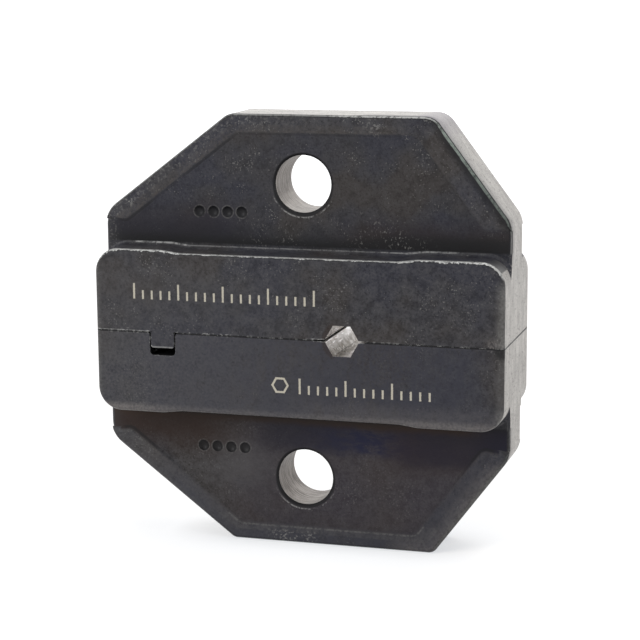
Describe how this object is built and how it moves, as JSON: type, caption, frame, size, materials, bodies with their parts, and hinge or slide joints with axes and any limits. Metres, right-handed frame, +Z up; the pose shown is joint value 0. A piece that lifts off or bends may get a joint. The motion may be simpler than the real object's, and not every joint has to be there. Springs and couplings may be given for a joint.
{
  "type": "hex crimp die set",
  "caption": "Steel crimp die set for a hand crimp frame, with a hexagonal nest on the parting line, a tongue and slot that line up its halves, and a retaining pin bore in each web.",
  "frame": {"origin": "middle of the parting face, where the two halves meet, on the middle plane of the webs", "axes": "+X across the jaws towards the end with the short slants, +Y from the front face to the back along both pin bores, +Z up through the upper half, the way the halves open"},
  "size_m": [0.033, 0.0098, 0.0342],
  "materials": {
    "black_oxide_steel": "matt black oxide on hardened tool steel, with the side faces, end flats, pin bores, parting faces and nest ground or worn bright"
  },
  "bodies": {
    "lower_die": {"lower_die_half": "black_oxide_steel"},
    "upper_die": {"upper_die_half": "black_oxide_steel"}
  },
  "joints": [
    {"name": "jaw_opening", "type": "slide", "parent": "lower_die", "child": "upper_die", "axis": [0, 0, 1], "range_m": [0, 0.009]}
  ]
}
